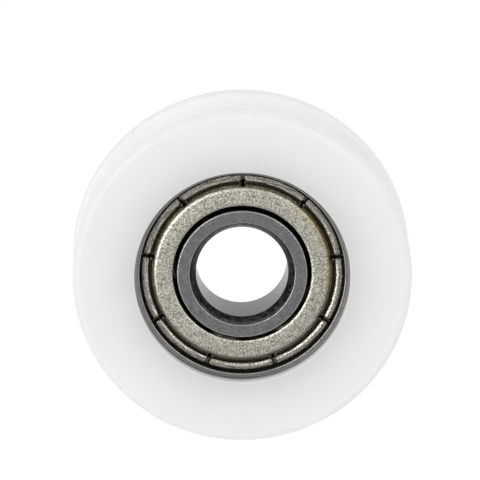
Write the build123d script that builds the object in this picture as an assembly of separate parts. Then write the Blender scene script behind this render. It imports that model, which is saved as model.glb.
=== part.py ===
from build123d import *
import os
from math import asin, cos, degrees, radians, sin, tan

# U-groove pulley wheel with a shielded ball bearing moulded into its hub.
# All sizes are in millimetres and all angles in degrees. The wheel's axis is Z, the origin is the
# middle of the bore, and the front of the wheel faces +Z.

# Moulded wheel
wheel_diameter = 22.0
wheel_width = 7.0
rim_round = 0.45            # on the edges between the side faces and the rim
groove_width = 4.0          # of the groove's mouth, at the rim
groove_depth = 2.2
groove_draft = 8.0          # lean of each groove wall
groove_edge_round = 0.2
lip_cover = 0.5             # how far each moulded lip reaches in over the bearing's outer ring
lip_draft = 1.0
lip_edge_round = 0.1
moulding_gap = 0.005        # between the plastic and the ring that it is moulded around

# Bearing envelope
bore_diameter = 6.0
bearing_diameter = 15.0
bearing_width = 5.0
outer_ring_round = 0.3
bore_chamfer_radial = 0.38
bore_chamfer_axial = 0.68
inner_ring_chamfer = 0.08
mouth_chamfer = 0.06        # on the inner edge of the outer ring's side face

# Balls and raceways
ball_diameter = 2.778
race_play = 0.01            # between a ball and the bottom of each raceway
race_curvature = 0.52       # raceway radius as a share of the ball's diameter
inner_race_depth = 0.4
outer_race_depth = 0.47
fill_angle = 187.0          # the arc that the balls fill when the bearing is put together

# Shields
shield_sheet = 0.14
shield_recess = 0.2         # from the ring faces down to the shield and its crimped bead
shield_gap = 0.28           # between the shield's hole and the inner ring
mouth_gap = 0.15            # between the crimped bead and the mouth of its seat
bead_width = 0.22           # across the crimped bead, at the middle of the sheet
bead_wall_width = 0.12      # of the bead's steep inner wall, seen from the front
valley_width = 0.22
valley_depth = 0.43
slope_width = 0.22          # of the slope from the flat of the shield down to the valley
bead_round = 0.12
bend_radius = 0.1
slit_count = 9
slit_width = 0.28
slit_start_angle = 9.7
slit_margin = 0.04          # from the edge of the shield's flat to the end of each slit
bead_drop = 0.21            # from the top of the bead down to its crimped edge
ledge_clearance = 0.05      # between the shield's valley and the ledge under it
mouth_wall = 0.82           # from the ring's outside to the mouth of the shield's seat
mouth_depth = 0.25          # of the straight wall at the mouth
undercut = 0.12             # how far the crimping groove goes in behind the mouth
undercut_slope = 0.13

# Cage
cage_sheet = 0.2
cage_inner_clearance = 0.3
cage_outer_clearance = 0.24
pocket_clearance = 0.06
pocket_bend_radius = 0.12
rivet_diameter = 0.5
rivet_hole_clearance = 0.01
rivet_head_diameter = 0.82
rivet_head_height = 0.18

# Sizes that follow from those above
wheel_radius = wheel_diameter / 2
bearing_radius = bearing_diameter / 2
bore_radius = bore_diameter / 2
half_width = wheel_width / 2
half_bearing = bearing_width / 2
ball_radius = ball_diameter / 2
pitch_radius = (bore_radius + bearing_radius) / 2
race_radius = race_curvature * ball_diameter
inner_race_bottom = pitch_radius - ball_radius - race_play
outer_race_bottom = pitch_radius + ball_radius + race_play
inner_land = inner_race_bottom + inner_race_depth
outer_land = outer_race_bottom - outer_race_depth
ball_angle = 2 * degrees(asin(ball_radius / pitch_radius))
ball_count = int(1 + fill_angle / ball_angle)
mouth_radius = bearing_radius - mouth_wall
shield_level = half_bearing - shield_recess - shield_sheet / 2
valley_level = shield_level - valley_depth
ledge_level = valley_level - shield_sheet / 2 - ledge_clearance
bead_outer = mouth_radius - shield_sheet / 2 - mouth_gap
bead_inner = bead_outer - bead_width
valley_end = bead_inner - bead_wall_width
valley_start = valley_end - valley_width
slope_start = valley_start - slope_width
cage_inner = inner_land + cage_inner_clearance
cage_outer = outer_land - cage_outer_clearance

SAME_PLACE = 1e-4


def turned(profile):
    """A profile drawn as radius and height, turned about the wheel's axis."""
    return revolve(Plane.XZ * profile, Axis.Z)


def span(inner, outer, bottom, top):
    """The profile of a plain ring, between two radii and two heights."""
    middle = Pos((inner + outer) / 2, (bottom + top) / 2)
    return middle * Rectangle(outer - inner, top - bottom)


def corners_at(profile, radius, height):
    """The profile's corners at a radius, above and below the middle plane."""
    places = [Vector(radius, height), Vector(radius, -height)]
    return [v for v in profile.vertices() if any((Vector(v) - p).length < SAME_PLACE for p in places)]


def around(shape, count, start_angle=0.0):
    """Copies of a shape, evenly spaced about the wheel's axis."""
    return [Rot(0, 0, start_angle + 360 * i / count) * shape for i in range(count)]


def groove_profile():
    """The U of the rope groove: two leaning walls, and a round bottom that meets both smoothly."""
    lean = radians(groove_draft)
    half_mouth = groove_width / 2
    bottom_radius = (half_mouth * cos(lean) - groove_depth * sin(lean)) / (1 - sin(lean))
    bottom = wheel_radius - groove_depth
    centre = bottom + bottom_radius
    wall_end = (centre - bottom_radius * sin(lean), bottom_radius * cos(lean))
    mouth = (wheel_radius, half_mouth)
    lower_mouth, lower_wall_end = [(r, -z) for r, z in (mouth, wall_end)]
    outline = [
        Line(mouth, wall_end),
        ThreePointArc(wall_end, (bottom, 0), lower_wall_end),
        Line(lower_wall_end, lower_mouth),
        Line(lower_mouth, mouth),
    ]
    return make_face(outline)


def lip_mouth_profile():
    """The open recess in front of the bearing, which widens towards the wheel's side face."""
    inside = bearing_radius - lip_cover
    at_face = inside + (half_width - half_bearing) * tan(radians(lip_draft))
    corners = [(0, half_bearing), (inside, half_bearing), (at_face, half_width), (0, half_width)]
    return make_face(Polyline(*corners, close=True)), at_face


def wheel_body():
    """The moulded wheel: rim flanges, rope groove, and the seat and lips that hold the bearing."""
    recess, lip_at_face = lip_mouth_profile()
    seat_radius = bearing_radius + moulding_gap
    seat_height = half_bearing + moulding_gap
    seat = span(0, seat_radius, -seat_height, seat_height)
    seat = fillet(corners_at(seat, seat_radius, seat_height), outer_ring_round)
    profile = span(0, wheel_radius, -half_width, half_width)
    profile = profile - groove_profile() - recess - mirror(recess, Plane.XZ) - seat
    profile = fillet(corners_at(profile, wheel_radius, half_width), rim_round)
    profile = fillet(corners_at(profile, wheel_radius, groove_width / 2), groove_edge_round)
    profile = fillet(corners_at(profile, lip_at_face, half_width), lip_edge_round)
    return turned(profile)


def shield_seat_profile():
    """The stepped seat in the outer ring's front, with a crimping groove behind its mouth."""
    groove_radius = mouth_radius + undercut
    groove_top = half_bearing - mouth_depth - undercut_slope
    corners = [
        (outer_land, ledge_level),
        (groove_radius, ledge_level),
        (groove_radius, groove_top),
        (mouth_radius, half_bearing - mouth_depth),
        (mouth_radius, half_bearing),
        (outer_land, half_bearing),
    ]
    return make_face(Polyline(*corners, close=True))


def outer_ring():
    """The bearing's outer ring, with its raceway and a seat for a shield on each side."""
    seat = shield_seat_profile()
    race = Pos(outer_race_bottom - race_radius, 0) * Circle(race_radius)
    profile = span(outer_land, bearing_radius, -half_bearing, half_bearing)
    profile = profile - seat - mirror(seat, Plane.XZ) - race
    profile = fillet(corners_at(profile, bearing_radius, half_bearing), outer_ring_round)
    profile = chamfer(corners_at(profile, mouth_radius, half_bearing), mouth_chamfer)
    return turned(profile)


def inner_ring():
    """The bearing's inner ring, with its raceway and a lead-in at each end of the bore."""
    race = Pos(inner_race_bottom + race_radius, 0) * Circle(race_radius)
    lead_in = make_face(
        Polyline(
            (bore_radius, half_bearing),
            (bore_radius, half_bearing - bore_chamfer_axial),
            (bore_radius + bore_chamfer_radial, half_bearing),
            close=True,
        )
    )
    profile = span(bore_radius, inner_land, -half_bearing, half_bearing)
    profile = profile - race - lead_in - mirror(lead_in, Plane.XZ)
    profile = chamfer(corners_at(profile, inner_land, half_bearing), inner_ring_chamfer)
    return turned(profile)


def front_shield():
    """The pressed shield: a flat, a slope to a valley, and a bead whose slit edge is crimped."""
    route = [
        (inner_land + shield_gap, shield_level),
        (slope_start, shield_level),
        (valley_start, valley_level),
        (valley_end, valley_level),
        (bead_inner, shield_level),
        (bead_outer, shield_level),
        (mouth_radius, shield_level - bead_drop),
    ]
    bends = [bend_radius, bend_radius, bend_radius, bead_round, bead_round]
    sheet = turned(trace(FilletPolyline(*route, radius=bends), shield_sheet))
    slit_start = slope_start + slit_margin
    slit_end = mouth_radius + undercut
    slit = Pos((slit_start + slit_end) / 2, 0, half_bearing / 2) * Box(
        slit_end - slit_start, slit_width, bearing_width
    )
    return sheet - around(slit, slit_count, slit_start_angle)


def pocket_dome(radius, level, foot_radius):
    """A dome over a ball that flares out with a round foot where it meets a level of the cage."""
    foot_height = level + foot_radius
    foot_centre = ((radius + foot_radius) ** 2 - foot_height**2) ** 0.5
    share = radius / (radius + foot_radius)
    meeting = (foot_centre * share, foot_height * share)
    outline = [
        Line((0, level), (0, radius)),
        RadiusArc((0, radius), meeting, radius),
        RadiusArc(meeting, (foot_centre, level), -foot_radius),
        Line((foot_centre, level), (0, level)),
    ]
    return turned(make_face(outline))


def cage_half():
    """The front half of the ribbon cage: a flat band pressed into a dome over each ball."""
    inside = ball_radius + pocket_clearance
    outside = inside + cage_sheet
    plate = turned(span(cage_inner, cage_outer, 0, cage_sheet))
    band = turned(span(cage_inner, cage_outer, 0, outside))
    place = Pos(pitch_radius, 0, 0)
    domes = around(place * pocket_dome(outside, cage_sheet, pocket_bend_radius), ball_count)
    hollows = around(place * pocket_dome(inside, 0, pocket_bend_radius + cage_sheet), ball_count)
    hole = place * Cylinder(rivet_diameter / 2 + rivet_hole_clearance, 4 * cage_sheet)
    holes = around(hole, ball_count, 180 / ball_count)
    shell = (plate + domes) & band
    return shell - hollows - holes


def rivet():
    """One rivet of the cage, with a domed head on each side of the two cage halves."""
    radius = rivet_diameter / 2
    head = rivet_head_diameter / 2
    top = cage_sheet + rivet_head_height
    shank = span(0, radius, -cage_sheet, cage_sheet)
    crown = make_face(
        [
            Line((0, cage_sheet), (head, cage_sheet)),
            RadiusArc((head, cage_sheet), (0, top), -(head**2 + rivet_head_height**2) / (2 * rivet_head_height)),
            Line((0, top), (0, cage_sheet)),
        ]
    )
    return turned(shank + crown + mirror(crown, Plane.XZ))


def save(name, shape):
    """Writes one piece of the wheel to its own file."""
    shape.label = name
    export_step(shape, f"parts/{name}.step")


def main():
    os.makedirs("parts", exist_ok=True)
    save("wheel_body", wheel_body())
    save("bearing_outer_ring", outer_ring())
    save("bearing_inner_ring", inner_ring())
    shield = front_shield()
    save("front_shield", shield)
    save("rear_shield", mirror(shield, Plane.XY))
    half = cage_half()
    save("cage_front_half", half)
    save("cage_rear_half", mirror(half, Plane.XY))
    rivets = around(Pos(pitch_radius, 0, 0) * rivet(), ball_count, 180 / ball_count)
    save("cage_rivets", Compound(rivets))
    balls = around(Pos(pitch_radius, 0, 0) * Sphere(ball_radius), ball_count)
    for number, ball in enumerate(balls, 1):
        save(f"ball_{number}", ball)


main()
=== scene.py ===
"""The looks of a white U-groove pulley wheel and of the shielded ball bearing moulded into its hub.

The script is laid out as an add-on. Each operator models one piece, or one group of like pieces,
from the sizes and colours in its property groups, and the main function calls them in order.
"""

import random
from math import atan2, cos, pi, radians, sin, sqrt, tan

import bmesh
import bpy
from bpy.props import FloatProperty, FloatVectorProperty, IntProperty, PointerProperty
from mathutils import Matrix, Vector


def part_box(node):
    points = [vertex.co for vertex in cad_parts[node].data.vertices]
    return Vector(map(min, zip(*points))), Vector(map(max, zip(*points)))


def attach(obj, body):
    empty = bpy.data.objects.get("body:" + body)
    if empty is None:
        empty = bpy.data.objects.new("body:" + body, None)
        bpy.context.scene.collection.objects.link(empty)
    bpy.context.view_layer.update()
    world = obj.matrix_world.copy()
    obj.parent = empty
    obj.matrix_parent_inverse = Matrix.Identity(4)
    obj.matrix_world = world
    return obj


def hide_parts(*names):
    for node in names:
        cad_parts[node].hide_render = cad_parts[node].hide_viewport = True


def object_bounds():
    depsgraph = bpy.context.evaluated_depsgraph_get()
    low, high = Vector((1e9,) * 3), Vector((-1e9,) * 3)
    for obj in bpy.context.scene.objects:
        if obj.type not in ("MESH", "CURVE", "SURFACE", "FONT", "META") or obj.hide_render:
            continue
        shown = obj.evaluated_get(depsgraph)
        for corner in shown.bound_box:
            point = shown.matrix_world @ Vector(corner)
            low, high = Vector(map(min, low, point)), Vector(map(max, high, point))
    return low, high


bl_info = {
    "name": "U-groove pulley wheel",
    "version": (1, 0, 0),
    "blender": (4, 5, 0),
    "location": "3D View > Sidebar > Pulley wheel",
    "description": "Models a plastic pulley wheel with a shielded ball bearing in its hub",
    "category": "Object",
}

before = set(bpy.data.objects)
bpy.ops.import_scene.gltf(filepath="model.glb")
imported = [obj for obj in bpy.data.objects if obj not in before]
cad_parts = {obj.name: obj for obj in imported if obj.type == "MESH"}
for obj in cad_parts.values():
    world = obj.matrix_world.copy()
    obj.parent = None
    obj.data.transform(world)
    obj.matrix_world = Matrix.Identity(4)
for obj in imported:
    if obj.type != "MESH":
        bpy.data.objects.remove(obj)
CAD_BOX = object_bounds()
WHEEL_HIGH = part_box("wheel_body")[1]
OUTER_RING_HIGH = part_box("bearing_outer_ring")[1]
BALL_LOW, BALL_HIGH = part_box("ball_1")

MM = 0.001
AXIS = Vector((0.0, 0.0, 1.0))
ORIGIN = Vector((0.0, 0.0, 0.0))
WHITE = (1.0, 1.0, 1.0, 1.0)

# Outlines are drawn in millimetres, because the bevel tells a short edge from none by a fixed
# length. Points closer than the second value are one.
DRAWING_SCALE = 1.0 / MM
SAME_PLACE = 1e-5

# How finely each round form is divided, and the bend from which an edge looks sharp.
ARC_STEPS = 6
WHEEL_STEPS = 288
RING_STEPS = 240
SHIELD_STEPS = 360
SHARP_ANGLE = radians(38.0)

# The cuts beside a slit, as shares of its bent side, and the half widths that they reach over.
DROOP_CUTS = (0.0, 0.15, 0.4, 1.0)
CUT_REACH = 3

# Chance in the bead's segments: the seed, the least share that one arches, and the arch's form.
CHANCE_SEED = 7
LEAST_ARCH = 0.3
ARCH_POWER = 4

# Noise values gather about a half. These ranges of them are used for tones and for roughness.
TONE_RANGE = (0.25, 0.75)
ROUGH_RANGE = (0.3, 0.7)

# The rings' turned marks: their depth in the bore and on the faces.
BORE_MARKS = 0.0003 * MM
FACE_MARKS = 0.0012 * MM

# Old oil between the rings: its soft edge, its distance from their other walls and its cover.
OIL_FADE = 0.1 * MM
OIL_MARGIN = 0.2 * MM
OIL_SHARE = 0.85

# Depths under a ring's face between which the painted highlight on its edge fades in, and
# between which it fades out.
EDGE_HIGHLIGHT_IN = (0.08 * MM, 0.06 * MM)
EDGE_HIGHLIGHT_OUT = (0.003 * MM, 0.0005 * MM)

# The outer ring's face turns paler between these distances from its outer radius, as a painted
# reflection of the white lip.
LIP_REFLECTION = (0.72 * MM, 0.54 * MM)
LIP_REFLECTION_SHARE = 0.6

# What the ground steel mirrors at a flat angle.
STEEL_TINT = (0.75, 0.75, 0.75, 1.0)

# Grime on a shield's slope: its cover and how dull it is. The pressed bead is smoother than the
# flat by the last value.
GRIME_SHARE = 0.85
GRIME_DULLNESS = 0.6
BEAD_POLISH = 0.08

# Directions from the wheel to the lamps, and the camera's reach to each side of the wheel.
KEY_WAY = (-0.45, 0.31, 0.84)
SIDE_WAY = (-0.66, -0.07, 0.75)
FILL_WAY = (0.48, 0.31, 0.82)
CLIP_RANGE = 10


def length(name, description, default):
    """A size that a user would change."""
    return FloatProperty(
        name=name, description=description, default=default, min=0.0, precision=5, unit="LENGTH"
    )


def turn(name, description, default):
    """An angle that a user would change, given here in degrees."""
    return FloatProperty(
        name=name, description=description, default=radians(default), unit="ROTATION"
    )


def colour(name, description, default):
    """A colour that a user would change."""
    return FloatVectorProperty(
        name=name, description=description, default=default, size=3, min=0.0, max=1.0,
        subtype="COLOR",
    )


def factor(name, description, default):
    """A strength that a user would change."""
    return FloatProperty(name=name, description=description, default=default, min=0.0)


class WheelSettings(bpy.types.PropertyGroup):
    """Sizes and colours of the moulded wheel."""

    radius: length("Radius", "From the axis to the rim", WHEEL_HIGH.x)
    half_width: length("Half width", "From the middle plane to a side face", WHEEL_HIGH.z)
    rim_round: length("Rim round", "Rounding between side face and rim", 0.45 * MM)
    groove_width: length("Groove width", "Width of the rope groove at the rim", 4.0 * MM)
    groove_depth: length("Groove depth", "Depth of the rope groove", 2.2 * MM)
    groove_draft: turn("Groove draft", "Lean of each groove wall", 8.0)
    groove_edge_round: length("Groove edge round", "Rounding of the groove's edges", 0.2 * MM)
    lip_radius: length("Lip radius", "Radius at the foot of the lip", 7.0 * MM)
    lip_draft: turn("Lip draft", "Lean of the lip's wall", 1.0)
    lip_edge_round: length("Lip edge round", "Rounding of the lip's edge", 0.1 * MM)
    moulding_gap: length("Moulding gap", "Between the plastic and the ring in it", 0.005 * MM)
    rim_colour: colour("Rim colour", "Plastic far from the bearing", (0.9, 0.9, 0.905))
    # Painted light: paler plastic on the rim and in the groove.
    groove_light_colour: colour("Groove colour", "Plastic of the groove and the rim", (0.93, 0.93, 0.933))
    # Painted shade: the plastic greys towards this colour near the steel inside it, over the length
    # set further down.
    hub_shade_colour: colour("Hub colour", "Plastic that the steel darkens", (0.66, 0.66, 0.655))
    # Painted shade and a painted reflection of the ring on the lip's foot, and painted light on the
    # lip's wall above it.
    foot_shade_colour: colour("Foot colour", "Foot of the lip, mirroring the ring", (0.37, 0.37, 0.37))
    wall_light_colour: colour("Wall colour", "Wall of the lip", (0.88, 0.88, 0.88))
    lip_shade_height: length("Lip foot", "Height of the lip's dark foot", 0.33 * MM)
    fade: length("Fade", "How far the steel darkens the plastic", 1.7 * MM)


class BearingSettings(bpy.types.PropertyGroup):
    """Sizes and colours of the two bearing rings and of what rolls between them."""

    radius: length("Radius", "Outside radius of the outer ring", OUTER_RING_HIGH.x)
    half_width: length("Half width", "From the middle plane to a ring face", OUTER_RING_HIGH.z)
    corner_round: length("Corner round", "Outer corners of the outer ring", 0.3 * MM)
    outer_land: length("Outer land", "Radius beside the outer raceway", 6.179 * MM)
    mouth_radius: length("Mouth radius", "Mouth of the shield's seat", 6.68 * MM)
    mouth_depth: length("Mouth depth", "Straight wall at the mouth", 0.25 * MM)
    undercut: length("Undercut", "Crimping groove behind the mouth", 0.12 * MM)
    undercut_slope: length("Undercut slope", "Slope into the crimping groove", 0.13 * MM)
    ledge_height: length("Ledge height", "Ledge under the shield", 1.68 * MM)
    inner_land: length("Inner land", "Radius beside the inner raceway", 4.251 * MM)
    bore_radius: length("Bore radius", "Radius of the bore", 3.0 * MM)
    lead_in_radial: length("Lead-in radial", "Radial size of the bore's lead-in", 0.44 * MM)
    lead_in_depth: length("Lead-in depth", "Depth of the bore's lead-in", 0.68 * MM)
    ring_edge: length("Ring edge", "Rounding of the inner ring's outer edge", 0.1 * MM)
    fine_edge: length("Fine edge", "Rounding of the ground edges", 0.035 * MM)
    race_radius: length("Race radius", "Radius of each raceway's groove", 1.4446 * MM)
    race_play: length("Race play", "Between a ball and a raceway's bottom", 0.01 * MM)
    oil_height: length("Oil height", "How far up old oil covers the rings' inner sides", 2.25 * MM)
    ring_colour: colour("Ring colour", "Ground steel of the rings", (0.147, 0.147, 0.149))
    oil_colour: colour("Oil colour", "Steel under old oil", (0.085, 0.073, 0.056))
    # Painted highlight on the rings' edges.
    edge_highlight_colour: colour("Edge colour", "Painted highlight on the rings' edges", (0.3, 0.3, 0.3))
    # Also used for the painted reflection of the white lip on the outer ring's face.
    lead_in_and_lip_reflection_colour: colour("Lead-in colour", "Turned lead-in of the bore", (0.32, 0.31, 0.29))
    ball_colour: colour("Ball colour", "Polished steel under oil", (0.14, 0.135, 0.125))
    cage_colour: colour("Cage colour", "Pressed sheet under oil", (0.06, 0.056, 0.049))


class ShieldSettings(bpy.types.PropertyGroup):
    """Sizes and colours of the two pressed shields."""

    sheet: length("Sheet", "Thickness of the sheet", 0.14 * MM)
    level: length("Level", "Height of the flat, at the middle of the sheet", 2.23 * MM)
    hole_radius: length("Hole radius", "Radius of the shield's hole", 4.531 * MM)
    hole_round: length("Hole round", "Width of the hole's rounded edge", 0.14 * MM)
    hole_drop: length("Hole drop", "How far the hole's rounded edge drops", 0.04 * MM)
    valley_depth: length("Valley depth", "From the flat down to the valley", 0.43 * MM)
    slope_start: length("Slope start", "Outer radius of the flat", 5.7 * MM)
    valley_start: length("Valley start", "Inner radius of the valley", 5.9 * MM)
    valley_end: length("Valley end", "Outer radius of the valley", 6.07 * MM)
    bead_inner: length("Bead inner", "Inner radius of the crimped bead", 6.16 * MM)
    bead_outer: length("Bead outer", "Outer radius of the crimped bead", 6.49 * MM)
    bead_dip: length("Bead dip", "How far the bead lies below the flat", 0.2 * MM)
    bead_drop: length("Bead drop", "From the bead down to its crimped edge", 0.17 * MM)
    bead_spread: length("Bead spread", "From the bead out to its crimped edge", 0.17 * MM)
    bead_inner_round: length("Bead inner round", "Rounding of the bead's inner bend", 0.17 * MM)
    bead_round: length("Bead round", "Rounding of the bead's outer bend", 0.12 * MM)
    shoulder_bend: length("Shoulder bend", "Rounding between the flat and the slope", 0.27 * MM)
    bend_radius: length("Bend radius", "Rounding of the other bends", 0.1 * MM)
    slits: IntProperty(name="Slits", description="Slits in the bead", default=9, min=1)
    slit_width: length("Slit width", "Width of a slit", 0.28 * MM)
    slit_margin: length("Slit margin", "From the flat to the end of a slit", 0.04 * MM)
    slit_edge: length("Slit edge", "How far a slit's sides are bent down", 0.12 * MM)
    first_slit: turn("First slit", "Direction of the first slit", 9.7)
    press_marks: length("Press marks", "How far the pressed segments differ", 0.018 * MM)
    flat_colour: colour("Flat colour", "Matt sheet on the flat", (0.272, 0.264, 0.224))
    # Real bright streaks, with a painted highlight towards the bead's inner edge.
    bead_streak_and_highlight_colour: colour("Bead colour", "Bright streaks of the pressed bead", (0.46, 0.444, 0.396))
    bead_dark: colour("Bead dark", "Dark streaks of the pressed bead", (0.09, 0.085, 0.07))
    grime_colour: colour("Grime colour", "Thin old oil on the slope", (0.5, 0.41, 0.22))
    grime_dark: colour("Grime dark", "Thick old oil on the slope", (0.09, 0.073, 0.042))
    # Painted shade in the valley and on the wall of the shield's hole.
    painted_shade_colour: colour("Valley colour", "Painted shade in the valley and on the hole's wall", (0.025, 0.021, 0.015))
    # A darker tone on and beside the slits' bent sides.
    slit_colour: colour("Slit colour", "Darker tone on the slits' sides", (0.12, 0.108, 0.088))
    tarnish_colour: colour("Tarnish colour", "Yellowed sheet", (0.21, 0.165, 0.08))
    tarnish_way: turn("Tarnish way", "Direction of the yellowed side", 17.0)


class StageSettings(bpy.types.PropertyGroup):
    """The camera of the photograph, the lamps and the floor."""

    tilt: turn("Tilt", "How far the camera looks down along the wheel's axis", 14.3)
    yaw: turn("Yaw", "How far the camera stands to the left", 0.9)
    distance: length("Distance", "From the camera to the wheel", 460.0 * MM)
    view_width: length("View width", "Width of the picture at the wheel", 31.33 * MM)
    aim_left: length("Aim left", "From the wheel's middle to the picture's", 0.106 * MM)
    aim_up: length("Aim up", "From the wheel's middle to the picture's", 1.612 * MM)
    lamp_distance: length("Lamp distance", "From the wheel to each lamp", 600.0 * MM)
    lamp_size: length("Lamp size", "Side of each square lamp", 150.0 * MM)
    key_glint: factor("Key glint", "Glints from the upper left", 0.55)
    side_glint: factor("Side glint", "Glints from the left", 0.45)
    fill_glint: factor("Fill glint", "Glints from the upper right", 0.3)
    key_light: factor("Key light", "Light from the upper left", 0.06)
    side_light: factor("Side light", "Light from the left", 0.03)
    fill_light: factor("Fill light", "Light from the upper right", 0.025)
    sky_level: factor("Sky level", "Light from all round", 0.85)
    floor_size: length("Floor size", "Side of the square floor", 1000.0 * MM)
    floor_colour: colour("Floor colour", "Light that the floor sends back", (0.92, 0.92, 0.92))
    shadow_colour: colour("Shadow colour", "Depth of the shadows in view", (0.12, 0.12, 0.12))
    floor_glow: factor("Floor glow", "Paleness of the floor in view", 0.905)
    # Between these radii the floor has no glow, a painted shadow under the wheel; inside the first
    # it glows full white, painted light in the bore.
    painted_shadow_from: length("Covered from", "Inner radius of the floor that the wheel hides", 3.7 * MM)
    painted_shadow_to: length("Covered to", "Outer radius of the floor that the wheel hides", 10.4 * MM)


class Outline:
    """A line of radius and height, drawn in the XZ plane and then turned about the wheel's axis."""

    def __init__(self, radius, height):
        self.mesh = bmesh.new()
        self.pen = self.mesh.verts.new(self.place(radius, height))
        self.rounded = []

    @staticmethod
    def place(radius, height):
        """A point of the drawing."""
        return Vector((radius, 0.0, height)) * DRAWING_SCALE

    def line(self, radius, height, rounding=0.0):
        """A straight stroke, whose end is a corner that may be rounded."""
        self.pen = bmesh.ops.extrude_vert_indiv(self.mesh, verts=[self.pen])["verts"][0]
        self.pen.co = self.place(radius, height)
        if rounding:
            self.rounded.append((self.pen, rounding * DRAWING_SCALE))

    def arc(self, radius, height, angle, steps):
        """A round stroke about a centre. A positive angle turns from outwards to upwards."""
        stroke = bmesh.ops.spin(
            self.mesh, geom=[self.pen], cent=self.place(radius, height), axis=(0.0, -1.0, 0.0),
            angle=angle, steps=steps, use_merge=False, use_duplicate=False,
        )
        self.pen = stroke["geom_last"][0]

    def round_corners(self):
        """Rounds each marked corner to its radius."""
        for corner, rounding in self.rounded:
            ends = [edge.other_vert(corner).co for edge in corner.link_edges]
            ways = [(end - corner.co).normalized() for end in ends]
            bend = pi - ways[0].angle(ways[1])
            bmesh.ops.bevel(
                self.mesh, geom=[corner], offset=rounding * tan(bend / 2), offset_type="OFFSET",
                segments=ARC_STEPS, profile=0.5, affect="VERTICES", material=-1,
            )
        return self

    def mirror(self):
        """Adds the lower half of an outline that begins and ends on the middle plane."""
        everything = self.mesh.verts[:] + self.mesh.edges[:]
        bmesh.ops.mirror(
            self.mesh, geom=everything, matrix=Matrix.Identity(4), merge_dist=SAME_PLACE, axis="Z"
        )
        return self

    def sweep(self, steps):
        """Turns the line once about the axis, as a shell whose faces point outwards."""
        mesh = self.mesh
        bmesh.ops.spin(
            mesh, geom=mesh.verts[:] + mesh.edges[:], cent=ORIGIN, axis=AXIS, angle=2 * pi,
            steps=steps, use_merge=True, use_duplicate=False,
        )
        bmesh.ops.remove_doubles(mesh, verts=mesh.verts, dist=SAME_PLACE)
        bmesh.ops.recalc_face_normals(mesh, faces=mesh.faces)
        return mesh


def new_object(name, mesh, material):
    """An object made of a drawn mesh."""
    data = bpy.data.meshes.new(name)
    mesh.to_mesh(data)
    mesh.free()
    data.materials.append(material)
    made = bpy.data.objects.new(name, data)
    bpy.context.scene.collection.objects.link(made)
    return made


def finish_piece(name, mesh, material, body, node):
    """Brings a drawn mesh to its size and makes it the piece that stands for a CAD node."""
    bmesh.ops.scale(mesh, vec=Vector((MM, MM, MM)), verts=mesh.verts)
    piece = new_object(name, mesh, material)
    piece.data.shade_smooth()
    piece.data.set_sharp_from_angle(angle=SHARP_ANGLE)
    normals = piece.modifiers.new("Even shading", "WEIGHTED_NORMAL")
    normals.keep_sharp = True
    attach(piece, body)
    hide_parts(node)


def add_node(tree, kind, inputs=None, **settings):
    """A shader node. Each input is a plain value or the output of another node."""
    node = tree.nodes.new(kind)
    for name, value in settings.items():
        setattr(node, name, value)
    for name, value in (inputs or {}).items():
        if isinstance(value, bpy.types.NodeSocket):
            tree.links.new(value, node.inputs[name])
        else:
            node.inputs[name].default_value = value
    return node


def maths(tree, operation, first, second=0.0):
    """The result of a Math node."""
    inputs = {0: first, 1: second}
    return add_node(tree, "ShaderNodeMath", inputs, operation=operation).outputs[0]


def times(tree, first, second):
    """The product of two values."""
    return maths(tree, "MULTIPLY", first, second)


def place_of(tree):
    """The place on the piece, in metres."""
    return add_node(tree, "ShaderNodeTexCoord").outputs["Object"]


def radius_of(tree, place):
    """The distance from the wheel's axis."""
    inputs = {0: place, 1: (1.0, 1.0, 0.0)}
    flat = add_node(tree, "ShaderNodeVectorMath", inputs, operation="MULTIPLY").outputs[0]
    away = add_node(tree, "ShaderNodeVectorMath", {0: flat}, operation="LENGTH")
    return away.outputs["Value"]


def height_of(tree, place):
    """The distance from the wheel's middle plane."""
    split = add_node(tree, "ShaderNodeSeparateXYZ", {0: place})
    return maths(tree, "ABSOLUTE", split.outputs["Z"])


def rings_of(tree, place, along):
    """A place whose sideways steps are small, so that a noise read there draws turned rings."""
    radius = radius_of(tree, place)
    inputs = {0: place, "Scale": maths(tree, "DIVIDE", along, radius)}
    round_part = add_node(tree, "ShaderNodeVectorMath", inputs, operation="SCALE").outputs[0]
    split = add_node(tree, "ShaderNodeSeparateXYZ", {0: round_part}).outputs
    height = add_node(tree, "ShaderNodeSeparateXYZ", {0: place}).outputs["Z"]
    inputs = {"X": split["X"], "Y": split["Y"], "Z": maths(tree, "ADD", radius, height)}
    return add_node(tree, "ShaderNodeCombineXYZ", inputs).outputs[0]


def noise(tree, place, size, detail, roughness=0.5):
    """A noise value whose blotches are about a size across."""
    inputs = {"Vector": place, "Scale": 1.0 / size, "Detail": detail, "Roughness": roughness}
    return add_node(tree, "ShaderNodeTexNoise", inputs).outputs["Fac"]


def spread(tree, value, low, high, low_result=0.0, high_result=1.0, smooth=False):
    """A value taken from one range to another."""
    inputs = {
        "Value": value, "From Min": low, "From Max": high,
        "To Min": low_result, "To Max": high_result,
    }
    kind = "SMOOTHSTEP" if smooth else "LINEAR"
    return add_node(tree, "ShaderNodeMapRange", inputs, interpolation_type=kind).outputs["Result"]


def blend(tree, share, first, second, kind="MIX"):
    """A colour between two others. Each is a plain colour or the output of another node."""
    node = add_node(tree, "ShaderNodeMix", data_type="RGBA", blend_type=kind)
    for socket, value in (("Factor_Float", share), ("A_Color", first), ("B_Color", second)):
        target = next(i for i in node.inputs if i.identifier == socket)
        if isinstance(value, bpy.types.NodeSocket):
            tree.links.new(value, target)
        elif socket == "Factor_Float":
            target.default_value = value
        else:
            target.default_value = (*value, 1.0)
    return next(o for o in node.outputs if o.identifier == "Result_Color")


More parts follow.
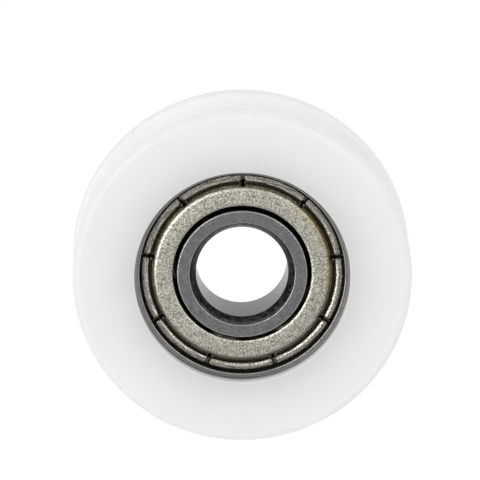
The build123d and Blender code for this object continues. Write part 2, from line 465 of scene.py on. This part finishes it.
def shade(tree, base, value, amount):
    """A colour made lighter and darker by a noise value, by a share of itself each way."""
    level = spread(tree, value, *TONE_RANGE, 1.0 - amount, 1.0 + amount)
    grey = add_node(tree, "ShaderNodeCombineColor", {"Red": level, "Green": level, "Blue": level})
    return blend(tree, 1.0, base, grey.outputs[0], kind="MULTIPLY")


def rough(tree, value, low, high):
    """A roughness that follows a noise value."""
    return spread(tree, value, *ROUGH_RANGE, low, high)


def bump(tree, height, distance):
    """A surface normal that follows a height."""
    inputs = {"Strength": 1.0, "Distance": distance, "Height": height}
    return add_node(tree, "ShaderNodeBump", inputs).outputs["Normal"]


def new_material(name):
    """A material with its node tree and its surface shader."""
    material = bpy.data.materials.new(name)
    material.use_nodes = True
    tree = material.node_tree
    return material, tree, tree.nodes["Principled BSDF"]


def put(tree, shader, **sockets):
    """Sets or links the shader's sockets. An underscore stands for the space in a socket's name."""
    for name, value in sockets.items():
        socket = shader.inputs[name.replace("_", " ")]
        if isinstance(value, bpy.types.NodeSocket):
            tree.links.new(value, socket)
        else:
            socket.default_value = value


def seen_directly(tree):
    """One for rays from the camera, steel or a see-through surface, and zero for all others."""
    rays = add_node(tree, "ShaderNodeLightPath").outputs
    seen = maths(tree, "MAXIMUM", rays["Is Camera Ray"], rays["Is Glossy Ray"])
    return maths(tree, "MAXIMUM", seen, rays["Is Transmission Ray"])


def plastic_material(wheel, bearing):
    """White moulded plastic, a little translucent, with painted shade that greys it close to the
    steel inside it, painted light on the rim, in the groove and on the lip's wall, and painted
    shade and a painted reflection of the ring on the lip's foot.
    """
    material, tree, shader = new_material("White plastic")
    place = place_of(tree)
    height = height_of(tree, place)
    away = maths(tree, "SUBTRACT", radius_of(tree, place), wheel.lip_radius)
    cloud = noise(tree, place, size=2.4 * MM, detail=3.0)
    satin = noise(tree, place, size=0.6 * MM, detail=4.0)
    grain = noise(tree, place, size=0.12 * MM, detail=3.0, roughness=0.6)

    # Painted shade: greyer towards the steel inside the plastic.
    steel_shade = maths(tree, "EXPONENT", maths(tree, "DIVIDE", away, -wheel.fade))
    tone = blend(tree, steel_shade, wheel.rim_colour, wheel.hub_shade_colour)
    # Painted light: the rim and the groove are paler than the side face.
    face_start = wheel.half_width - wheel.rim_round
    on_face = spread(tree, height, face_start, wheel.half_width - wheel.rim_round / 4)
    tone = blend(tree, on_face, wheel.groove_light_colour, tone)
    # Painted shade and a painted reflection of the ring on the foot of the lip's wall, and painted
    # light on the wall above it.
    foot = bearing.half_width + wheel.lip_shade_height
    up_wall = spread(tree, height, foot, foot + wheel.lip_shade_height / 4)
    lip_wall_light_and_shade = blend(tree, up_wall, wheel.foot_shade_colour, wheel.wall_light_colour)
    off_wall = spread(tree, away, wheel.lip_edge_round / 3, wheel.lip_edge_round)
    tone = blend(tree, off_wall, lip_wall_light_and_shade, tone)
    put(
        tree, shader, Base_Color=shade(tree, tone, cloud, amount=0.012),
        Roughness=rough(tree, satin, low=0.5, high=0.62),
        Normal=bump(tree, grain, distance=0.004 * MM), IOR=1.5, Specular_IOR_Level=0.3,
        Subsurface_Weight=0.35, Subsurface_Radius=(1.0, 0.95, 0.9), Subsurface_Scale=0.5 * MM,
    )
    return material


def ring_material(bearing):
    """Ground steel: fine turned rings, painted highlights on the edges, a painted reflection of the
    white lip on the outer ring's face, and old oil between the two rings.
    """
    material, tree, shader = new_material("Ground steel")
    place = place_of(tree)
    radius = radius_of(tree, place)
    height = height_of(tree, place)
    turned = rings_of(tree, place, along=0.35 * MM)
    rings = noise(tree, turned, size=0.045 * MM, detail=3.0, roughness=0.6)
    mottle = noise(tree, place, size=0.35 * MM, detail=3.0)
    specks = noise(tree, place, size=0.1 * MM, detail=1.0)
    tone = shade(tree, bearing.ring_colour, rings, amount=0.22)
    tone = shade(tree, tone, mottle, amount=0.14)
    tone = shade(tree, tone, specks, amount=0.3)

    # Painted reflection of the white lip: the outer ring's face turns paler towards its outer edge.
    lip_reflection_start, lip_reflection_end = (bearing.radius - distance for distance in LIP_REFLECTION)
    lip_reflection = spread(tree, radius, lip_reflection_start, lip_reflection_end, smooth=True)
    tone = blend(tree, times(tree, lip_reflection, LIP_REFLECTION_SHARE), tone, bearing.lead_in_and_lip_reflection_colour)

    lead_in_end = bearing.bore_radius + bearing.lead_in_radial
    lead_in_start = bearing.half_width - bearing.lead_in_depth
    inside = maths(tree, "LESS_THAN", radius, lead_in_end)
    in_lead = times(tree, inside, maths(tree, "GREATER_THAN", height, lead_in_start))
    tone = blend(tree, in_lead, tone, shade(tree, bearing.lead_in_and_lip_reflection_colour, mottle, amount=0.35))

    # Painted highlight: a thin paler band on each ring's edge, just under its face.
    edge = spread(tree, height, *(bearing.half_width - depth for depth in EDGE_HIGHLIGHT_IN))
    face = spread(tree, height, *(bearing.half_width - depth for depth in EDGE_HIGHLIGHT_OUT))
    tone = blend(tree, maths(tree, "SUBTRACT", edge, face), tone, bearing.edge_highlight_colour)

    low = spread(tree, height, bearing.oil_height, bearing.oil_height - OIL_FADE)
    beyond = maths(tree, "GREATER_THAN", radius, bearing.inner_land - OIL_MARGIN)
    within = maths(tree, "LESS_THAN", radius, bearing.radius - OIL_MARGIN)
    oily = times(tree, low, times(tree, beyond, within))
    tone = blend(tree, times(tree, oily, OIL_SHARE), tone, bearing.oil_colour)

    out_of_bore = bearing.bore_radius + bearing.lead_in_radial / 2
    marks = spread(tree, radius, bearing.bore_radius, out_of_bore, BORE_MARKS, FACE_MARKS)
    put(
        tree, shader, Base_Color=tone, Metallic=1.0, Specular_Tint=STEEL_TINT,
        Roughness=rough(tree, mottle, low=0.16, high=0.26), Normal=bump(tree, rings, marks),
    )
    return material


def slit_share(tree, shield, place, radius):
    """One beside a slit and on its walls, fading to nothing a little way from it."""
    pitch = 2 * pi / shield.slits
    split = add_node(tree, "ShaderNodeSeparateXYZ", {0: place})
    angle = maths(tree, "ARCTAN2", split.outputs["Y"], split.outputs["X"])
    way = maths(tree, "DIVIDE", maths(tree, "SUBTRACT", angle, shield.first_slit), pitch)
    off = maths(tree, "ABSOLUTE", maths(tree, "SUBTRACT", way, maths(tree, "ROUND", way)))
    across = times(tree, times(tree, off, pitch), radius)
    edge = shield.slit_width / 2
    start, end = edge + shield.slit_edge / 4, edge + shield.slit_edge
    close = spread(tree, across, start, end, low_result=1.0, high_result=0.0, smooth=True)
    off_flat = spread(tree, radius, shield.slope_start, shield.valley_start)
    return times(tree, close, off_flat)


def tarnish_share(tree, shield, place, radius):
    """One on the side of the shield that has yellowed, fading to nothing round from it."""
    inputs = {0: place, 1: (cos(shield.tarnish_way), sin(shield.tarnish_way), 0.0)}
    reach = add_node(tree, "ShaderNodeVectorMath", inputs, operation="DOT_PRODUCT").outputs["Value"]
    return spread(tree, maths(tree, "DIVIDE", reach, radius), low=0.72, high=0.95, smooth=True)


def shield_material(shield):
    """Matt pressed sheet: a fine grain, painted shade in the valley and on the hole's wall, a
    painted highlight on the bead, and a yellow tarnish on one side.
    """
    material, tree, shader = new_material("Matt sheet")
    place = place_of(tree)
    radius = radius_of(tree, place)
    grain = noise(tree, place, size=0.078 * MM, detail=1.0)
    cloud = noise(tree, place, size=1.6 * MM, detail=3.0)
    speckle = noise(tree, place, size=0.2 * MM, detail=3.0, roughness=0.7)
    speckle = spread(tree, speckle, low=0.4, high=0.62)
    turned = rings_of(tree, place, along=0.5 * MM)
    streaks = noise(tree, turned, size=0.07 * MM, detail=3.0, roughness=0.7)

    on_slope = spread(tree, radius, shield.slope_start, shield.valley_start, smooth=True)
    worn = maths(tree, "ADD", speckle, spread(tree, streaks, low=0.35, high=0.65))
    patches = spread(tree, worn, low=0.55, high=1.45)
    grime = blend(tree, patches, shield.grime_dark, shield.grime_colour)
    tone = shade(tree, shield.flat_colour, cloud, amount=0.08)
    tone = blend(tree, times(tree, on_slope, GRIME_SHARE), tone, grime)

    shoulder_start = shield.slope_start - 2 * shield.sheet
    shoulder = spread(tree, radius, shoulder_start, shield.slope_start, smooth=True)
    yellow = times(tree, tarnish_share(tree, shield, place, radius), shoulder)
    yellow = times(tree, yellow, spread(tree, speckle, low=0.0, high=0.6, low_result=0.4))
    tone = blend(tree, yellow, tone, shield.tarnish_colour)

    # Painted shade in the valley.
    valley_edge = shield.valley_start - shield.sheet / 4
    valley_shade = spread(tree, radius, valley_edge, valley_edge + shield.sheet / 3)
    tone = blend(tree, valley_shade, tone, shield.painted_shade_colour)

    on_bead = spread(tree, radius, shield.valley_end, shield.valley_end + shield.sheet / 3)
    # Painted highlight: the bead's bright streaks are lighter towards its inner edge.
    crest_highlight_start = shield.bead_inner + shield.sheet / 2
    crest_highlight_end = shield.bead_inner + 1.5 * shield.sheet
    crest_highlight = spread(tree, radius, crest_highlight_start, crest_highlight_end, 1.0, 0.5, smooth=True)
    bright = times(tree, spread(tree, streaks, low=0.38, high=0.62), crest_highlight)
    tone = blend(tree, on_bead, tone, blend(tree, bright, shield.bead_dark, shield.bead_streak_and_highlight_colour))

    # Darker on and beside the slits' bent sides.
    tone = blend(tree, slit_share(tree, shield, place, radius), tone, shield.slit_colour)
    # Painted shade on the wall of the shield's hole.
    hole_edge = maths(tree, "LESS_THAN", radius, shield.hole_radius + shield.sheet / 20)
    tone = blend(tree, hole_edge, tone, shield.painted_shade_colour)
    tone = shade(tree, tone, grain, amount=0.72)
    smooth = times(tree, on_bead, BEAD_POLISH)
    dull = times(tree, maths(tree, "SUBTRACT", on_slope, valley_shade), GRIME_DULLNESS)
    put(
        tree, shader, Base_Color=tone, Metallic=maths(tree, "SUBTRACT", 1.0, dull),
        Roughness=maths(tree, "SUBTRACT", rough(tree, grain, low=0.32, high=0.44), smooth),
        Normal=bump(tree, grain, distance=0.016 * MM),
    )
    return material


def cage_material(bearing):
    """Pressed sheet under a film of oil."""
    material, tree, shader = new_material("Cage sheet")
    grain = noise(tree, place_of(tree), size=0.2 * MM, detail=3.0)
    put(
        tree, shader, Base_Color=shade(tree, bearing.cage_colour, grain, amount=0.15),
        Metallic=1.0, Roughness=rough(tree, grain, low=0.3, high=0.5),
        Normal=bump(tree, grain, distance=0.003 * MM),
    )
    return material


def ball_material(bearing):
    """Polished steel with faint rolling marks."""
    material, tree, shader = new_material("Polished steel")
    marks = noise(tree, place_of(tree), size=0.3 * MM, detail=4.0)
    put(
        tree, shader, Base_Color=shade(tree, bearing.ball_colour, marks, amount=0.05),
        Metallic=1.0, Roughness=rough(tree, marks, low=0.05, high=0.12),
        Normal=bump(tree, marks, distance=0.0004 * MM),
    )
    return material


def floor_material(stage):
    """A pale floor that looks white to the eye and in steel, and still takes a soft shadow. Its
    glow leaves a painted shadow under the wheel and gives painted light in the bore.
    """
    material, tree, shader = new_material("Studio floor")
    place = place_of(tree)
    radius = radius_of(tree, place)
    paper = noise(tree, place, size=0.8 * MM, detail=3.0)
    seen = seen_directly(tree)
    tone = blend(tree, seen, stage.floor_colour, stage.shadow_colour)
    # Painted shadow: no glow on the floor under the wheel. Painted light: full white glow inside
    # the bore.
    bore_light = maths(tree, "LESS_THAN", radius, stage.painted_shadow_from)
    beyond_shadow = maths(tree, "GREATER_THAN", radius, stage.painted_shadow_to)
    level = maths(tree, "MAXIMUM", bore_light, times(tree, beyond_shadow, stage.floor_glow))
    put(
        tree, shader, Base_Color=shade(tree, tone, paper, amount=0.02), Roughness=0.9,
        Specular_IOR_Level=0.0, Emission_Color=WHITE, Emission_Strength=times(tree, seen, level),
    )
    return material


def groove_strokes(outline, wheel):
    """Half of the rope groove: from the bottom's middle round to the leaning wall and its mouth."""
    half_mouth = wheel.groove_width / 2
    lean = wheel.groove_draft
    bottom_radius = (half_mouth * cos(lean) - wheel.groove_depth * sin(lean)) / (1 - sin(lean))
    centre = wheel.radius - wheel.groove_depth + bottom_radius
    outline.arc(centre, 0.0, -(pi / 2 - lean), steps=4 * ARC_STEPS)
    outline.line(wheel.radius, half_mouth, wheel.groove_edge_round)


class PULLEY_OT_wheel(bpy.types.Operator):
    """Models the moulded wheel, with its rope groove and the lips that hold the bearing"""

    bl_idname = "pulley.build_wheel"
    bl_label = "Moulded wheel"

    def execute(self, context):
        wheel = context.scene.pulley_wheel
        bearing = context.scene.pulley_bearing
        seat_radius = bearing.radius + wheel.moulding_gap
        seat_height = bearing.half_width + wheel.moulding_gap
        lip_height = wheel.half_width - bearing.half_width
        lip_at_face = wheel.lip_radius + lip_height * tan(wheel.lip_draft)
        outline = Outline(wheel.radius - wheel.groove_depth, 0.0)
        groove_strokes(outline, wheel)
        outline.line(wheel.radius, wheel.half_width, wheel.rim_round)
        outline.line(lip_at_face, wheel.half_width, wheel.lip_edge_round)
        outline.line(wheel.lip_radius, seat_height, bearing.fine_edge)
        outline.line(seat_radius, seat_height, bearing.corner_round)
        outline.line(seat_radius, 0.0)
        mesh = outline.round_corners().mirror().sweep(WHEEL_STEPS)
        material = plastic_material(wheel, bearing)
        finish_piece("wheel", mesh, material, "wheel", "wheel_body")
        return {"FINISHED"}


def race_turn(bearing, reach):
    """The angle from a raceway's bottom to its edge, which lies at a reach from its centre."""
    return atan2(sqrt(bearing.race_radius**2 - reach**2), reach)


def outer_ring_mesh(bearing, race_middle):
    """The outer ring: its raceway, the seat of each shield and the mouth that grips the bead."""
    undercut_radius = bearing.mouth_radius + bearing.undercut
    mouth_height = bearing.half_width - bearing.mouth_depth
    outline = Outline(race_middle + bearing.race_radius, 0.0)
    turned = race_turn(bearing, bearing.outer_land - race_middle)
    outline.arc(race_middle, 0.0, turned, steps=2 * ARC_STEPS)
    outline.line(bearing.outer_land, bearing.ledge_height, bearing.fine_edge)
    outline.line(undercut_radius, bearing.ledge_height)
    outline.line(undercut_radius, mouth_height - bearing.undercut_slope)
    outline.line(bearing.mouth_radius, mouth_height, bearing.fine_edge)
    outline.line(bearing.mouth_radius, bearing.half_width, 2 * bearing.fine_edge)
    outline.line(bearing.radius, bearing.half_width, bearing.corner_round)
    outline.line(bearing.radius, 0.0)
    return outline.round_corners().mirror().sweep(RING_STEPS)


def inner_ring_mesh(bearing, race_middle):
    """The inner ring: its raceway, its ground faces and the lead-in at each end of the bore."""
    lead_in_radius = bearing.bore_radius + bearing.lead_in_radial
    outline = Outline(race_middle - bearing.race_radius, 0.0)
    turned = race_turn(bearing, race_middle - bearing.inner_land)
    outline.arc(race_middle, 0.0, -turned, steps=2 * ARC_STEPS)
    outline.line(bearing.inner_land, bearing.half_width, bearing.ring_edge)
    outline.line(lead_in_radius, bearing.half_width, 2 * bearing.fine_edge)
    lead_in_start = bearing.half_width - bearing.lead_in_depth
    outline.line(bearing.bore_radius, lead_in_start, 2 * bearing.fine_edge)
    outline.line(bearing.bore_radius, 0.0)
    return outline.round_corners().mirror().sweep(RING_STEPS)


class PULLEY_OT_rings(bpy.types.Operator):
    """Models the two ground rings of the bearing"""

    bl_idname = "pulley.build_rings"
    bl_label = "Bearing rings"

    def execute(self, context):
        bearing = context.scene.pulley_bearing
        ball_radius = (BALL_HIGH.z - BALL_LOW.z) / 2
        pitch_radius = (BALL_HIGH.x + BALL_LOW.x) / 2
        reach = ball_radius + bearing.race_play - bearing.race_radius
        steel = ring_material(bearing)
        mesh = outer_ring_mesh(bearing, pitch_radius + reach)
        finish_piece("outer_ring", mesh, steel, "wheel", "bearing_outer_ring")
        mesh = inner_ring_mesh(bearing, pitch_radius - reach)
        finish_piece("inner_ring", mesh, steel, "inner_ring", "bearing_inner_ring")
        return {"FINISHED"}


def shield_sheet_mesh(shield):
    """The middle of the shield's sheet, before it is slit and gets its thickness."""
    valley = shield.level - shield.valley_depth
    bead = shield.level - shield.bead_dip
    rim_radius = shield.bead_outer + shield.bead_spread
    outline = Outline(shield.hole_radius, shield.level - shield.hole_drop)
    outline.line(shield.hole_radius + shield.hole_round, shield.level, shield.hole_round)
    outline.line(shield.slope_start, shield.level, shield.shoulder_bend)
    outline.line(shield.valley_start, valley, shield.bend_radius)
    outline.line(shield.valley_end, valley, shield.bend_radius)
    outline.line(shield.bead_inner, bead, shield.bead_inner_round)
    outline.line(shield.bead_outer, bead, shield.bead_round)
    outline.line(rim_radius, bead - shield.bead_drop)
    return outline.round_corners().sweep(SHIELD_STEPS)


def cut_slit(mesh, angle, start, half_width, droop):
    """Opens one slit from a radius out to the sheet's edge, and bends its parallel sides down."""
    along = Vector((cos(angle), sin(angle), 0.0))
    across = Vector((-sin(angle), cos(angle), 0.0))

    def lies_near(point, margin):
        """Whether a point lies in the slit, or closer to it than a margin."""
        return point.dot(along) > start - margin and abs(point.dot(across)) < half_width + margin

    reach = CUT_REACH * half_width
    faces = [face for face in mesh.faces if lies_near(face.calc_center_median(), reach)]
    edges = {edge for face in faces for edge in face.edges}
    verts = {vert for face in faces for vert in face.verts}
    parts = [*faces, *edges, *verts]
    cuts = [(along * start, along)]
    for share in DROOP_CUTS:
        side = across * (half_width + share * droop)
        cuts += [(side, across), (-side, across)]
    for point, normal in cuts:
        parts = bmesh.ops.bisect_plane(
            mesh, geom=parts, dist=SAME_PLACE, plane_co=point, plane_no=normal
        )["geom"]
    faces = [part for part in parts if isinstance(part, bmesh.types.BMFace)]
    hole = [face for face in faces if lies_near(face.calc_center_median(), 0.0)]
    bmesh.ops.delete(mesh, geom=hole, context="FACES")
    for vert in mesh.verts:
        if lies_near(vert.co, droop) and vert.co.dot(along) > start + droop:
            share = 1.0 - (abs(vert.co.dot(across)) - half_width) / droop
            vert.co.z -= droop / 2 * (1.0 - sqrt(1.0 - min(share, 1.0) ** 2))


def press_segments(mesh, shield, chance):
    """Sets each segment of the bead a little differently, as the crimping tool leaves it."""
    pitch = 2 * pi / shield.slits
    inner = shield.valley_start * DRAWING_SCALE
    reach = (shield.bead_outer - shield.valley_start) * DRAWING_SCALE
    marks = shield.press_marks * DRAWING_SCALE
    lean = [chance.uniform(-1.0, 1.0) for _ in range(shield.slits)]
    arch = [chance.uniform(LEAST_ARCH, 1.0) for _ in range(shield.slits)]
    for vert in mesh.verts:
        share = (vert.co.xy.length - inner) / reach
        if share <= 0.0:
            continue
        way = ((atan2(vert.co.y, vert.co.x) - shield.first_slit) / pitch) % shield.slits
        segment = int(way) % shield.slits
        side = 2 * (way - int(way)) - 1
        push = lean[segment] * side - arch[segment] * side**ARCH_POWER
        vert.co.z += marks * min(share, 1.0) * push


def shield_mesh(shield, chance):
    """One finished shield, facing up."""
    mesh = shield_sheet_mesh(shield)
    start = (shield.slope_start + shield.slit_margin) * DRAWING_SCALE
    half_width = shield.slit_width / 2 * DRAWING_SCALE
    for number in range(shield.slits):
        angle = shield.first_slit + 2 * pi * number / shield.slits
        cut_slit(mesh, angle, start, half_width, shield.slit_edge * DRAWING_SCALE)
    press_segments(mesh, shield, chance)
    bmesh.ops.recalc_face_normals(mesh, faces=mesh.faces)
    mesh.normal_update()
    thickness = shield.sheet * DRAWING_SCALE
    for vert in mesh.verts:
        vert.co += vert.normal * (thickness / 2)
    bmesh.ops.solidify(mesh, geom=mesh.faces[:], thickness=thickness)
    return mesh


class PULLEY_OT_shields(bpy.types.Operator):
    """Models the two pressed shields, with a slit bead that is crimped into the outer ring"""

    bl_idname = "pulley.build_shields"
    bl_label = "Shields"

    def execute(self, context):
        shield = context.scene.pulley_shield
        sheet = shield_material(shield)
        chance = random.Random(CHANCE_SEED)
        front = shield_mesh(shield, chance)
        finish_piece("shield_front", front, sheet, "wheel", "front_shield")
        rear = shield_mesh(shield, chance)
        bmesh.ops.scale(rear, vec=Vector((1.0, 1.0, -1.0)), verts=rear.verts)
        bmesh.ops.reverse_faces(rear, faces=rear.faces)
        finish_piece("shield_rear", rear, sheet, "wheel", "rear_shield")
        return {"FINISHED"}


class PULLEY_OT_rolling_set(bpy.types.Operator):
    """Gives the balls, the cage and its rivets their steel"""

    bl_idname = "pulley.finish_rolling_set"
    bl_label = "Balls and cage"

    def execute(self, context):
        bearing = context.scene.pulley_bearing
        polished = ball_material(bearing)
        pressed = cage_material(bearing)
        for name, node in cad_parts.items():
            if name.startswith(("ball_", "cage_")):
                node.data.materials.clear()
                node.data.materials.append(polished if name.startswith("ball_") else pressed)
        return {"FINISHED"}


def view_axes(stage):
    """The picture's right and up, and the way to the camera."""
    toward = Vector((
        -sin(stage.yaw), sin(stage.tilt) * cos(stage.yaw), cos(stage.tilt) * cos(stage.yaw)
    ))
    right = Vector((0.0, cos(stage.tilt), -sin(stage.tilt))).cross(toward).normalized()
    return right, toward.cross(right), toward


def add_camera(stage):
    """The camera of the photograph."""
    right, up, toward = view_axes(stage)
    data = bpy.data.cameras.new("Photo camera")
    data.lens = data.sensor_width * stage.distance / stage.view_width
    data.clip_start = stage.distance / CLIP_RANGE
    data.clip_end = stage.distance * CLIP_RANGE
    camera = bpy.data.objects.new("Photo camera", data)
    place = up * stage.aim_up - right * stage.aim_left + toward * stage.distance
    turned = Matrix((right, up, toward)).transposed().to_4x4()
    camera.matrix_world = Matrix.Translation(place) @ turned
    bpy.context.scene.collection.objects.link(camera)
    bpy.context.scene.camera = camera


def add_lamp(stage, name, way, light, glint):
    """A soft lamp that faces the wheel: one light for its faces and another for its glints."""
    way = Vector(way).normalized()
    turned = way.to_track_quat("Z", "Y").to_matrix().to_4x4()
    for kind, share in (("light", light), ("glint", glint)):
        data = bpy.data.lights.new(f"{name} {kind}", "AREA")
        data.shape = "SQUARE"
        data.size = stage.lamp_size
        data.energy = share * (pi * stage.lamp_distance) ** 2 / way.z
        lamp = bpy.data.objects.new(f"{name} {kind}", data)
        lamp.matrix_world = Matrix.Translation(way * stage.lamp_distance) @ turned
        lamp.visible_camera = False
        lamp.visible_diffuse = kind == "light"
        lamp.visible_glossy = kind == "glint"
        bpy.context.scene.collection.objects.link(lamp)


def add_sky(stage):
    """Even light from all round, which the camera and the steel see as white."""
    world = bpy.data.worlds.new("Studio")
    world.use_nodes = True
    tree = world.node_tree
    level = spread(tree, seen_directly(tree), 0.0, 1.0, stage.sky_level, 1.0)
    put(tree, tree.nodes["Background"], Color=WHITE, Strength=level)
    bpy.context.scene.world = world


class PULLEY_OT_stage(bpy.types.Operator):
    """Sets up the floor, the lamps, the sky and the camera of the photograph"""

    bl_idname = "pulley.set_stage"
    bl_label = "Stage"

    def execute(self, context):
        stage = context.scene.pulley_stage
        mesh = bmesh.new()
        bmesh.ops.create_grid(mesh, x_segments=1, y_segments=1, size=stage.floor_size / 2)
        bmesh.ops.translate(mesh, vec=Vector((0.0, 0.0, CAD_BOX[0].z)), verts=mesh.verts)
        floor = new_object("floor", mesh, floor_material(stage))
        add_lamp(stage, "Key", KEY_WAY, stage.key_light, stage.key_glint)
        add_lamp(stage, "Side", SIDE_WAY, stage.side_light, stage.side_glint)
        add_lamp(stage, "Fill", FILL_WAY, stage.fill_light, stage.fill_glint)
        add_sky(stage)
        add_camera(stage)
        context.scene.view_settings.view_transform = "Standard"
        return {"FINISHED"}


class PULLEY_PT_panel(bpy.types.Panel):
    """Lists the steps of the wheel with their sizes and colours"""

    bl_idname = "PULLEY_PT_panel"
    bl_label = "Pulley wheel"
    bl_space_type = "VIEW_3D"
    bl_region_type = "UI"
    bl_category = "Pulley wheel"

    def draw(self, context):
        for settings_name, operators in PANEL_ROWS:
            box = self.layout.box()
            settings = getattr(context.scene, settings_name)
            for name in settings.__annotations__:
                box.prop(settings, name)
            for operator in operators:
                box.operator(operator.bl_idname)


PANEL_ROWS = (
    ("pulley_wheel", (PULLEY_OT_wheel,)),
    ("pulley_bearing", (PULLEY_OT_rings, PULLEY_OT_rolling_set)),
    ("pulley_shield", (PULLEY_OT_shields,)),
    ("pulley_stage", (PULLEY_OT_stage,)),
)

SETTINGS = {
    "pulley_wheel": WheelSettings,
    "pulley_bearing": BearingSettings,
    "pulley_shield": ShieldSettings,
    "pulley_stage": StageSettings,
}

CLASSES = (
    *SETTINGS.values(),
    PULLEY_OT_wheel,
    PULLEY_OT_rings,
    PULLEY_OT_shields,
    PULLEY_OT_rolling_set,
    PULLEY_OT_stage,
    PULLEY_PT_panel,
)


def register():
    """Makes the classes and their settings known to the program."""
    for item in CLASSES:
        bpy.utils.register_class(item)
    for name, group in SETTINGS.items():
        setattr(bpy.types.Scene, name, PointerProperty(type=group))


def unregister():
    """Takes back what register did, in reverse order."""
    for name in SETTINGS:
        delattr(bpy.types.Scene, name)
    for item in reversed(CLASSES):
        bpy.utils.unregister_class(item)


def main():
    """Builds the whole scene."""
    register()
    bpy.ops.pulley.build_wheel()
    bpy.ops.pulley.build_rings()
    bpy.ops.pulley.build_shields()
    bpy.ops.pulley.finish_rolling_set()
    bpy.ops.pulley.set_stage()


if __name__ == "__main__":
    main()
